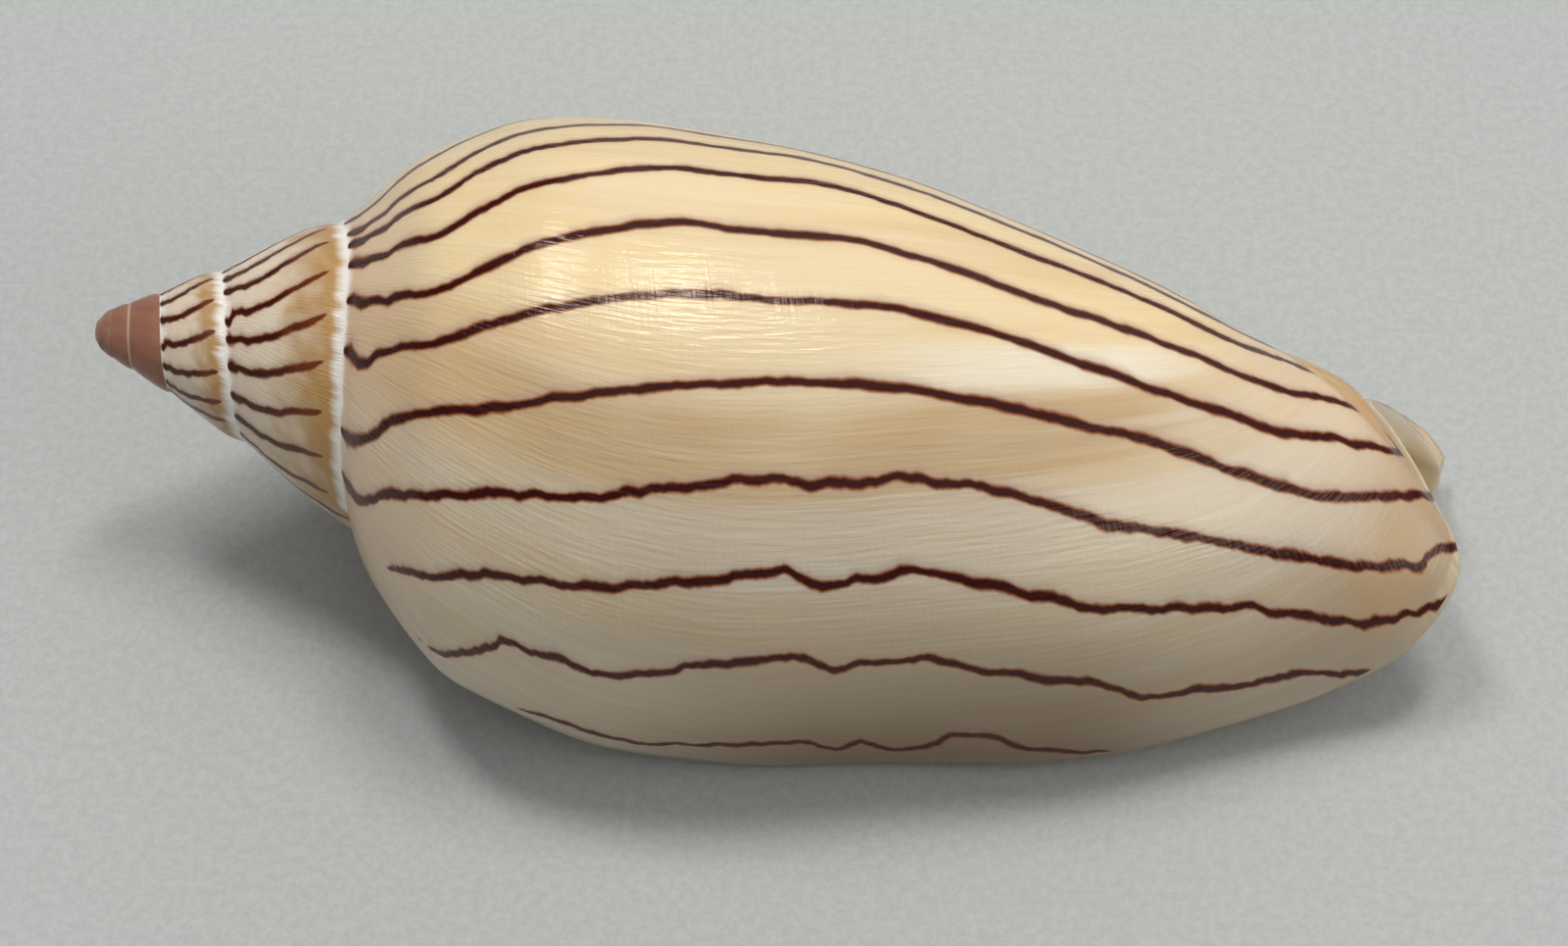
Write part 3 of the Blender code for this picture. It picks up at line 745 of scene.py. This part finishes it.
def blind_end(mesh, outer, inner, strip):
    """Blind end of the hollow: a curtain drawn round the pillar."""
    far = list(outer[BODY - DEEP, FOOT_ROW:]) + list(strip[0, 1:])
    note = plain_note(-DEPTH, 1.0)
    chain = list(inner[0])
    for share in (0.33, 0.67):
        fold = between(inner[0], far, share, mesh.points)
        fold = [chain[0]] + list(mesh.add(fold)) + [chain[-1]]
        mesh.triangles(ladder(chain, fold, mesh.points), note)
        chain = fold
    mesh.triangles(ladder(chain, far, mesh.points), note)


def spire_tip(mesh, outer):
    """Tip of the spire: a small dome, and the step where the first turn begins."""
    once = round(360.0 / STEP)
    note = plain_note(-SPIRE_TURN, 0.0)
    first = list(outer[once: LEAD + 1, 0])
    second = list(outer[0, : SEAM_ROW + 1])
    mesh.triangles(ladder(first, second, mesh.points), note)
    ring = outer[: once + 1, 0]
    edge = mesh.points[ring]
    wide = np.hypot(edge[:, 1], edge[:, 2])
    for share in (0.66, 0.33):
        level = edge * (share * wide.min() / wide)[:, None]
        level[:, 0] = edge[:, 0].min() * (1.0 - math.sqrt(1.0 - share**2) * 0.9)
        closer = mesh.add(level[:-1])
        closer = np.append(closer, closer[0])
        mesh.sheet(np.stack([ring, closer]).T, note)
        mesh.triangles((ring[-1], ring[0], closer[0]), note)
        ring = closer
    top = mesh.add((edge[:, 0].min() * 0.1, 0.0, 0.0))
    fan = np.stack([ring[:-1], ring[1:], np.full(once, top)], axis=-1)
    mesh.triangles(fan, note)


def shell_mesh():
    """The closed shell, axis along X and the tip near the origin."""
    mesh = Mesh()
    outer, notes = outer_sheet(mesh)
    inner = inner_sheet(mesh, outer, notes)
    strip = pillar_strip(mesh, outer, inner, notes)
    rim = lip_rim(mesh, outer, inner, notes)
    pillar_end(mesh, outer, strip, rim)
    blind_end(mesh, outer, inner, strip)
    spire_tip(mesh, outer)
    return mesh


def at_rest(points, also=()):
    """Dips the axis, then stands the shell on the origin. "also" are points to take along."""
    dip = math.radians(NOSE_DOWN)

    def dipped(p):
        x = p[:, 0] * math.cos(dip) + p[:, 2] * math.sin(dip)
        z = p[:, 2] * math.cos(dip) - p[:, 0] * math.sin(dip)
        return np.stack([x, p[:, 1], z], axis=1)

    placed = dipped(points)
    low = placed.min(axis=0)
    high = placed.max(axis=0)
    shift = np.array([(low[0] + high[0]) / 2, (low[1] + high[1]) / 2, low[2]])
    return placed - shift, dipped(np.array(also, float).reshape(-1, 3)) - shift


class Nodes:
    """Short ways to write a node tree."""

    def __init__(self, material):
        material.use_nodes = True
        self.tree = material.node_tree
        self.shader = self.tree.nodes["Principled BSDF"]

    def join(self, value, socket):
        if isinstance(value, bpy.types.NodeSocket):
            self.tree.links.new(value, socket)
        else:
            socket.default_value = value

    def attribute(self, name):
        node = self.tree.nodes.new("ShaderNodeAttribute")
        node.attribute_name = name
        return node.outputs["Fac"]

    def math(self, operation, one, two=0.0):
        node = self.tree.nodes.new("ShaderNodeMath")
        node.operation = operation
        for socket, value in zip(node.inputs, (one, two)):
            self.join(value, socket)
        return node.outputs[0]

    def add(self, one, two):
        return self.math("ADD", one, two)

    def times(self, one, two):
        return self.math("MULTIPLY", one, two)

    def step(self, value, low, high, from_value=0.0, to_value=1.0):
        """Smooth step from one value to the other as the input goes from low to high."""
        node = self.tree.nodes.new("ShaderNodeMapRange")
        node.interpolation_type = "SMOOTHSTEP"
        flip = low > high
        self.join(value, node.inputs[0])
        self.join(high if flip else low, node.inputs[1])
        self.join(low if flip else high, node.inputs[2])
        self.join(to_value if flip else from_value, node.inputs[3])
        self.join(from_value if flip else to_value, node.inputs[4])
        return node.outputs[0]

    def between(self, value, start, full, full_end, end):
        """1 from full to full_end, 0 before the start and after the end."""
        return self.times(self.step(value, start, full), self.step(value, end, full_end))

    def dot(self, one, two):
        node = self.tree.nodes.new("ShaderNodeVectorMath")
        node.operation = "DOT_PRODUCT"
        self.join(one, node.inputs[0])
        self.join(two, node.inputs[1])
        return node.outputs["Value"]

    def vector(self, x, y, z=0.0):
        node = self.tree.nodes.new("ShaderNodeCombineXYZ")
        for socket, value in zip(node.inputs, (x, y, z)):
            self.join(value, socket)
        return node.outputs[0]

    def noise(self, where, scale, detail=3.0, rough=0.5):
        node = self.tree.nodes.new("ShaderNodeTexNoise")
        self.join(where, node.inputs["Vector"])
        node.inputs["Scale"].default_value = scale
        node.inputs["Detail"].default_value = detail
        node.inputs["Roughness"].default_value = rough
        return node.outputs["Fac"]

    def mix(self, share, one, two):
        node = self.tree.nodes.new("ShaderNodeMix")
        node.data_type = "RGBA"
        self.join(share, node.inputs[0])
        for socket, value in ((node.inputs[6], one), (node.inputs[7], two)):
            self.join((*value, 1.0) if isinstance(value, tuple) else value, socket)
        return node.outputs[2]

    def tint(self, color, other, mask, strength=1.0):
        """The colour, with the other one over it where the mask is."""
        return self.mix(self.times(mask, strength), color, other)


class Glaze(Nodes):
    """The nodes of the glaze, with what the shell's corners carry and the growth lines."""

    def __init__(self, material):
        super().__init__(material)
        self.turn = self.attribute("turn")
        self.station = self.attribute("station")
        self.to_next = self.attribute("to_next")
        self.from_last = self.attribute("from_last")
        self.growth_mm = self.times(self.turn, MM_A_DEGREE)
        self.across_mm = self.times(self.station, MM_A_STATION)
        self.size = self.math("POWER", GROWTH, self.times(self.turn, 1.0 / 360.0))
        self.fine = self.grain(2.6, 0.05, 4.0, 0.6)
        self.streaks = self.grain(0.7, 0.03, 4.0, 0.6)
        self.bands = self.grain(0.13, 0.012, 4.0, 0.6)
        # painted shade on the underside behind the lip
        self.painted_underside_shade = self.painted_underside_mask()
        self.ochre = self.before_suture()

    def grain(self, along, across, detail, rough=0.5):
        """Noise, so many waves a millimetre along the growth and across it."""
        where = self.vector(self.times(self.growth_mm, along), self.times(self.across_mm, across))
        return self.noise(where, 1.0, detail, rough)

    def painted_underside_mask(self):
        """Painted shade: the underside of the last whorl darkened behind the lip, below the
        shoulder.
        """
        shade = self.times(self.step(self.turn, -56.0, -6.0), self.step(self.station, 2.0, 5.0))
        return self.times(shade, self.step(self.station, 8.4, 6.6, 0.5, 0.95))

    def before_suture(self):
        """Ochre blotches, denser towards the next suture."""
        patch = self.add(self.grain(0.20, 0.25, 1.5), -0.5)
        own = self.math("DIVIDE", self.to_next, self.size)
        return self.step(self.add(own, self.times(patch, 14.0)), 15.0, 2.0)


def cream_ground(n):
    """Cream with clouds and streaks along the growth lines, greyer towards the lip, with a paler
    patch on the belly that is also a painted highlight.
    """
    cloud = n.grain(0.06, 0.05, 2.0)
    color = n.mix(n.step(n.turn, -98.0, -60.0), CREAM, NEAR_LIP)
    warm = n.between(n.turn, -85.0, -76.0, -67.0, -58.0)
    warm = n.times(warm, n.step(n.station, 9.0, 7.8, 0.2, 1.0))
    color = n.tint(color, WARM_TAN, n.times(warm, n.step(cloud, 0.25, 0.6, 0.65, 1.0)))
    color = n.tint(color, TAN, n.step(n.bands, 0.45, 0.68), 0.45)
    # paler glaze between two lines on the belly, whitened further as a painted highlight
    pale = n.between(n.turn, -92.0, -87.0, -83.0, -78.0)
    pale = n.times(pale, n.between(n.station, 5.2, 6.8, 8.0, 9.5))
    color = n.tint(color, WHITE_GLAZE, pale, 0.8)
    color = n.tint(color, PALE_CREAM, n.step(cloud, 0.4, 0.7), 0.5)
    color = n.tint(color, WHITE_GLAZE, n.step(n.streaks, 0.52, 0.72), 0.25)
    color = n.tint(color, WHITE_GLAZE, n.step(n.fine, 0.45, 0.75), 0.17)
    return n.tint(color, TAN, n.step(n.streaks, 0.46, 0.30), 0.20)


def front_and_lip(n, color):
    """Pink and tan towards the front notch, painted shade on the underside behind the lip, and the
    rim's pale edge.
    """
    color = n.tint(color, PINK, n.step(n.station, 8.5, 11.5), 0.45)
    color = n.tint(color, TAN, n.step(n.station, 9.5, 12.0), 0.35)
    # painted shade on the underside of the last whorl, behind the lip
    color = n.mix(n.painted_underside_shade, color, PAINTED_UNDERSIDE_SHADE)
    fibres = n.grain(0.25, 1.6, 3.0)
    notch = n.times(n.step(n.station, 10.7, 12.0), n.step(n.turn, -75.0, -45.0))
    color = n.tint(color, NOTCH_TAN, n.times(notch, n.step(fibres, 0.35, 0.6, 0.3, 0.95)))
    shoulder = n.between(n.turn, -95.0, -85.0, -62.0, -50.0)
    color = n.tint(color, TAN, n.times(n.step(n.station, 3.2, 1.6), shoulder), 0.5)
    color = n.tint(color, PINK, n.step(n.station, 1.6, 0.3), 0.7)
    stain = n.times(n.between(n.station, 9.1, 9.8, 10.3, 11.0),
                    n.between(n.turn, -32.0, -20.0, -10.0, -4.0))
    color = n.tint(color, WARM_TAN, stain, 0.65)
    rim = n.times(n.step(n.turn, -4.5, -1.5), n.step(n.station, 9.5, 11.5, 0.05, 0.8))
    return n.tint(color, LIP_CREAM, n.times(rim, n.step(fibres, 0.3, 0.6, 0.4, 1.0)))


def sutures(n, color):
    """The spire's paler cream, ochre before a suture and white glaze on it."""
    color = n.tint(color, SPIRE_CREAM, n.step(n.to_next, 40.0, 25.0), 0.8)
    color = n.tint(color, OCHRE, n.ochre, 0.9)
    edge = n.add(n.grain(0.26, 0.0, 2.0), -0.5)
    glaze = n.math("MINIMUM", n.to_next, n.times(n.from_last, 1.3))
    glaze = n.add(glaze, n.times(edge, 2.0))
    return n.tint(color, SEAM_WHITE, n.step(glaze, 0.95, 0.0, 0.0, 0.97))


def brown_lines(n, color):
    """The lines: how far a point lies from the nearest one, against half of its width."""
    phase = n.attribute("phase")
    ink = n.attribute("ink")
    part = n.math("FRACT", n.add(phase, 0.5))
    away = n.times(n.add(part, -0.5), n.attribute("gap"))

    # they are more ragged near the lip
    late = n.step(phase, 5.2, 1.8)
    ragged = n.times(n.add(n.grain(0.12, 0.42, 2.0), -0.5), n.step(late, 0.0, 1.0, 0.5, 0.8))
    nicks = n.times(n.add(n.grain(0.2, 0.75, 2.0), -0.5), n.step(late, 0.0, 1.0, 0.25, 0.85))
    away = n.add(away, n.times(n.add(ragged, nicks), n.size))

    half = n.times(n.math("POWER", n.math("MAXIMUM", ink, 0.0), 0.5), LINE_HALF)
    half = n.times(half, n.step(n.grain(0.3, 0.30, 2.0), 0.3, 0.7, 0.8, 1.2))
    half = n.times(half, n.add(n.times(n.size, 0.45), 0.55))
    half = n.times(half, n.step(n.station, 0.5, 0.12, 1.0, 1.5))
    share = n.math("DIVIDE", n.math("ABSOLUTE", away), n.math("MAXIMUM", half, 0.02))
    there = n.step(ink, 0.03, 0.3)

    # a faint shade beside them, a brown edge, a nearly black core
    shade = n.times(n.step(share, 3.6, 1.0, 0.0, 0.6), n.step(away, -0.15, 0.25, 0.35, 1.0))
    # the halo fades where the painted underside shade is strong
    shade = n.times(shade, n.step(n.painted_underside_shade, 0.6, 0.2))
    color = n.tint(color, LINE_SHADE, n.times(shade, there))
    color = n.tint(color, LINE_BROWN, n.times(n.step(share, 1.75, 0.85), there))
    core = n.mix(n.times(n.ochre, 0.6), LINE_DARK, LINE_BROWN)
    return n.tint(color, core, n.times(n.step(share, 1.1, 0.55), there))


def first_turns(n, color):
    """The smooth brown first turns, with a thin pale seam and a white ring where they end."""
    brown = n.mix(n.step(n.turn, -1300.0, -1900.0), FIRST_BROWN, FIRST_TIP)
    brown = n.tint(brown, FIRST_DARK, n.step(n.bands, 0.4, 0.65), 0.35)
    seam = n.times(n.step(n.from_last, 0.3, 0.08), n.step(n.turn, -1420.0, -1330.0))
    brown = n.tint(brown, WHITE_GLAZE, seam, 0.4)
    color = n.tint(color, brown, n.step(n.turn, FIRST_TURN + 12.0, FIRST_TURN - 12.0))
    ring = n.between(n.turn, FIRST_TURN + 2.0, FIRST_TURN + 12.0,
                     FIRST_TURN + 12.0, FIRST_TURN + 22.0)
    return n.tint(color, SEAM_WHITE, ring)


def mouth_color(n):
    """Mouth and pillar: deeper tan further in, and the pillar's olive end with a dark edge."""
    color = n.mix(n.step(n.turn, -10.0, -130.0), MOUTH, MOUTH_DEEP)
    where = n.tree.nodes.new("ShaderNodeTexCoord").outputs["Object"]
    x_mm = n.dot(where, (1000.0, 0.0, 0.0))
    z_mm = n.dot(where, (0.0, 0.0, 1000.0))
    slant = n.times(n.dot(where, (0.84, 0.39, 0.40)), 1000.0)
    at_end = n.step(x_mm, 36.0, 39.0)
    olive = n.times(n.between(slant, 38.2, 39.2, 40.5, 41.7), n.step(z_mm, 3.0, 8.0))
    color = n.tint(color, LOBE, n.times(olive, at_end))
    return n.tint(color, FIRST_DARK, n.times(n.step(slant, 41.4, 42.0, 0.0, 0.35), at_end))


def glaze_material():
    material = bpy.data.materials.new("glazed_shell")
    n = Glaze(material)
    color = cream_ground(n)
    for zone in (front_and_lip, sutures, brown_lines, first_turns):
        color = zone(n, color)
    color = n.tint(color, mouth_color(n), n.attribute("inside"))
    n.join(color, n.shader.inputs["Base Color"])
    n.join(n.step(n.fine, 0.3, 0.8, *ROUGHNESS), n.shader.inputs["Roughness"])
    n.shader.inputs["Specular IOR Level"].default_value = SPECULAR
    n.shader.inputs["Specular Tint"].default_value = SPECULAR_TINT

    ridges = n.times(n.grain(2.8, 0.3, 2.0), n.step(n.station, 10.0, 6.5, 0.45, 1.0))
    threads = n.grain(0.08, 3.5, 3.0, 0.6)
    bump = n.tree.nodes.new("ShaderNodeBump")
    bump.inputs["Strength"].default_value = BUMP_STRENGTH
    bump.inputs["Distance"].default_value = BUMP_HEIGHT * MM
    n.join(n.add(ridges, n.times(threads, 0.3)), bump.inputs["Height"])
    n.join(bump.outputs["Normal"], n.shader.inputs["Normal"])
    return material


def shell_piece(mesh, points):
    faces = np.concatenate(mesh.faces)[:, ::-1]
    notes = np.concatenate(mesh.notes)[:, ::-1]
    data = bpy.data.meshes.new("shell_glaze")
    data.from_pydata(points * MM, [], faces.tolist())
    for number, name in enumerate(Mesh.NAMES):
        layer = data.attributes.new(name, "FLOAT", "CORNER")
        layer.data.foreach_set("value", notes[..., number].astype(np.float32).ravel())
    # every face turned outwards
    form = bmesh.new()
    form.from_mesh(data)
    bmesh.ops.recalc_face_normals(form, faces=form.faces)
    form.to_mesh(data)
    form.free()
    data.shade_smooth()
    data.materials.append(glaze_material())
    piece = bpy.data.objects.new("shell_glaze", data)
    bpy.context.scene.collection.objects.link(piece)
    return piece


def floor_piece():
    data = bpy.data.meshes.new("floor")
    half = FLOOR_HALF
    corners = [(-half, -half, 0.0), (half, -half, 0.0), (half, half, 0.0), (-half, half, 0.0)]
    data.from_pydata(corners, [], [(0, 1, 2, 3)])
    material = bpy.data.materials.new("floor")
    n = Nodes(material)
    where = n.tree.nodes.new("ShaderNodeTexCoord").outputs["Object"]
    specks = n.noise(where, 1500.0, 2.0, 0.8)
    color = n.mix(n.step(specks, 0.3, 0.7), FLOOR_DARK, FLOOR_LIGHT)
    n.join(color, n.shader.inputs["Base Color"])
    n.shader.inputs["Roughness"].default_value = 0.75
    data.materials.append(material)
    floor = bpy.data.objects.new("floor", data)
    bpy.context.scene.collection.objects.link(floor)


def soft_light(name, direction, distance, size, power):
    light = bpy.data.lights.new(name, "AREA")
    light.shape = "RECTANGLE"
    light.size = size[0]
    light.size_y = size[1]
    light.energy = power
    lamp = bpy.data.objects.new(name, light)
    toward = Vector(direction).normalized()
    lamp.location = toward * distance
    lamp.rotation_mode = "QUATERNION"
    lamp.rotation_quaternion = toward.to_track_quat("Z", "Y")
    bpy.context.scene.collection.objects.link(lamp)


def studio():
    for light in LIGHTS:
        soft_light(*light)
    world = bpy.data.worlds.new("room")
    world.use_nodes = True
    background = world.node_tree.nodes["Background"]
    background.inputs["Color"].default_value = ROOM
    background.inputs["Strength"].default_value = ROOM_STRENGTH
    bpy.context.scene.world = world
    bpy.context.scene.view_settings.view_transform = "Standard"


def camera(target):
    a = math.radians(CAMERA_AZIMUTH)
    e = math.radians(CAMERA_ELEVATION)
    r = math.radians(CAMERA_ROLL)
    back = Vector((math.sin(a) * math.cos(e), -math.cos(a) * math.cos(e), math.sin(e)))
    level = Vector((math.cos(a), math.sin(a), 0.0))
    above = back.cross(level)
    right = level * math.cos(r) + above * math.sin(r)
    up = above * math.cos(r) - level * math.sin(r)
    lens = bpy.data.cameras.new("camera")
    lens.lens = LENS
    lens.sensor_width = 36.0
    lens.shift_x, lens.shift_y = SHIFT
    eye = bpy.data.objects.new("camera", lens)
    turn = Matrix((right, up, back)).transposed()
    eye.matrix_world = Matrix.Translation(target + back * CAMERA_DISTANCE * MM) @ turn.to_4x4()
    bpy.context.scene.collection.objects.link(eye)
    bpy.context.scene.camera = eye


def main():
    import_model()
    mesh = shell_mesh()
    points, marks = at_rest(mesh.points, [(CAMERA_TARGET, 0.0, 0.0)])
    shell = shell_piece(mesh, points)
    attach(shell, "root")
    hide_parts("shell")
    floor_piece()
    studio()
    camera(Vector(marks[0] * MM))


main()
